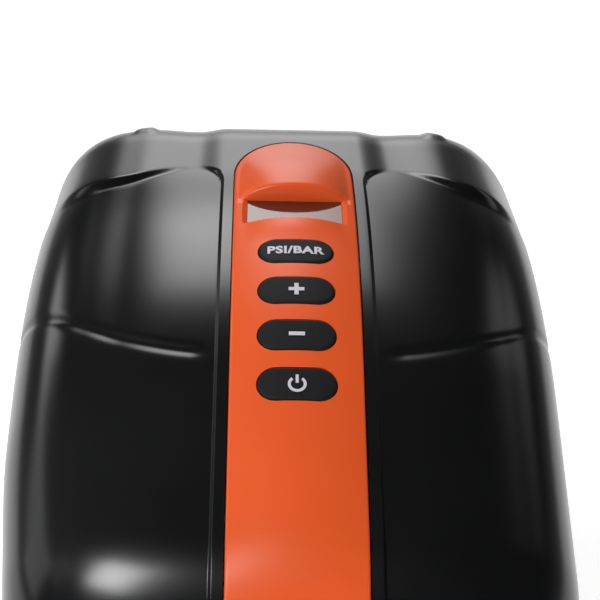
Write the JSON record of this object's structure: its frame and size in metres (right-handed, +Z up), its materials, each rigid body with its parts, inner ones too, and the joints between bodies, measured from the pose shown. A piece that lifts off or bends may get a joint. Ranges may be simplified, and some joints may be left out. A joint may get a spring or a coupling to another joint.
{
  "type": "electric air pump",
  "caption": "Portable electric inflator: loaf-shaped black housing, crowned orange console strip with sprung keys and display, side hose sockets, blower and piston compressor inside.",
  "frame": {"origin": "on the floor under the middle of the housing", "axes": "+Z up, front (the low end of the console) faces -Y, +X to the right as seen from the front"},
  "size_m": [0.16, 0.25, 0.1722],
  "materials": {
    "housing_plastic": "satin black moulded plastic",
    "console_orange": "satin orange moulded plastic",
    "window_plastic": "glossy grey display window",
    "key_rubber": "matte black rubber",
    "foot_rubber": "matte black rubber",
    "grey_plastic": "matte grey nylon",
    "white_nylon": "natural nylon",
    "dark_plastic": "matte dark plastic",
    "display_face": "grey-green display",
    "board_green": "green circuit board",
    "steel": "zinc plated",
    "alloy": "die cast",
    "brass": "turned brass",
    "silicone": "translucent silicone",
    "wire_sleeve": "insulated wire",
    "can_blue": "sleeved component"
  },
  "bodies": {
    "housing": {"upper_housing": "housing_plastic", "lower_housing": "housing_plastic", "console_panel": "console_orange", "display_window": "window_plastic", "display_module": "display_face", "display_board": "board_green", "console_board": "board_green", "key_switches": "steel", "console_screws": "steel", "vent_grille": "housing_plastic", "fan_frame": "dark_plastic", "inflate_port": "grey_plastic", "deflate_port": "grey_plastic", "port_seals": "key_rubber", "power_inlet": "dark_plastic", "inlet_pins": "brass", "rubber_feet": "foot_rubber", "housing_screws": "steel", "blower_motor": "steel", "scroll_body": "grey_plastic", "scroll_cover": "grey_plastic", "intake_duct": "grey_plastic", "blower_cradle": "grey_plastic", "compressor_motor": "steel", "gear_bracket": "alloy", "crank_bush": "brass", "cylinder": "alloy", "valve_plate": "steel", "cylinder_head": "alloy", "head_screws": "steel", "pressure_tube": "silicone", "check_valve": "white_nylon", "pressure_sensor": "dark_plastic", "main_board": "board_green", "heat_sink": "alloy", "board_capacitors": "can_blue", "relay": "can_blue", "fuse": "dark_plastic", "wiring": "wire_sleeve"},
    "power_key": {"power_button": "key_rubber"},
    "minus_key": {"minus_button": "key_rubber"},
    "plus_key": {"plus_button": "key_rubber"},
    "psi_bar_key": {"psi_bar_button": "key_rubber"},
    "blower_rotor": {"blower_shaft": "alloy", "blower_impeller": "white_nylon"},
    "fan_rotor": {"fan_rotor": "dark_plastic"},
    "pinion": {"motor_pinion": "brass"},
    "crank": {"crank_gear": "white_nylon"},
    "piston_assembly": {"piston": "alloy", "piston_seal": "key_rubber", "wrist_pin": "steel"},
    "rod": {"connecting_rod": "alloy", "crank_pin": "steel"}
  },
  "joints": [
    {"name": "power_press", "type": "slide", "parent": "housing", "child": "power_key", "axis": [0, 0.4848, -0.8746], "range_m": [0, 0.0008], "stiffness_N_per_m": 600, "springref_m": -0.0008},
    {"name": "minus_press", "type": "slide", "parent": "housing", "child": "minus_key", "axis": [0, 0.4462, -0.895], "range_m": [0, 0.0008], "stiffness_N_per_m": 600, "springref_m": -0.0008},
    {"name": "plus_press", "type": "slide", "parent": "housing", "child": "plus_key", "axis": [0, 0.3664, -0.9305], "range_m": [0, 0.0008], "stiffness_N_per_m": 600, "springref_m": -0.0008},
    {"name": "psi_bar_press", "type": "slide", "parent": "housing", "child": "psi_bar_key", "axis": [0, 0.2838, -0.9589], "range_m": [0, 0.0008], "stiffness_N_per_m": 600, "springref_m": -0.0008},
    {"name": "blower_spin", "type": "hinge", "parent": "housing", "child": "blower_rotor", "pos_m": [-0.005, 0.03, 0.07], "axis": [0, 0, 1], "continuous": true},
    {"name": "fan_spin", "type": "hinge", "parent": "housing", "child": "fan_rotor", "pos_m": [0, 0.111, 0.086], "axis": [0, 1, 0], "continuous": true},
    {"name": "crank_spin", "type": "hinge", "parent": "housing", "child": "crank", "pos_m": [-0.028, -0.082, 0.052], "axis": [0, 1, 0], "continuous": true},
    {"name": "pinion_spin", "type": "hinge", "parent": "housing", "child": "pinion", "pos_m": [-0.028, -0.082, 0.0895], "axis": [0, 1, 0], "continuous": true},
    {"name": "piston_stroke", "type": "slide", "parent": "housing", "child": "piston_assembly", "axis": [1, 0, 0], "range_m": [-0.016, 0]},
    {"name": "rod_swing", "type": "hinge", "parent": "piston_assembly", "child": "rod", "pos_m": [0.024, -0.097, 0.052], "axis": [0, 1, 0], "range_deg": [-10.4, 10.4]}
  ],
  "couplings": [
    {"joint": "pinion_spin", "follows": "crank_spin", "ratio": -4}
  ]
}
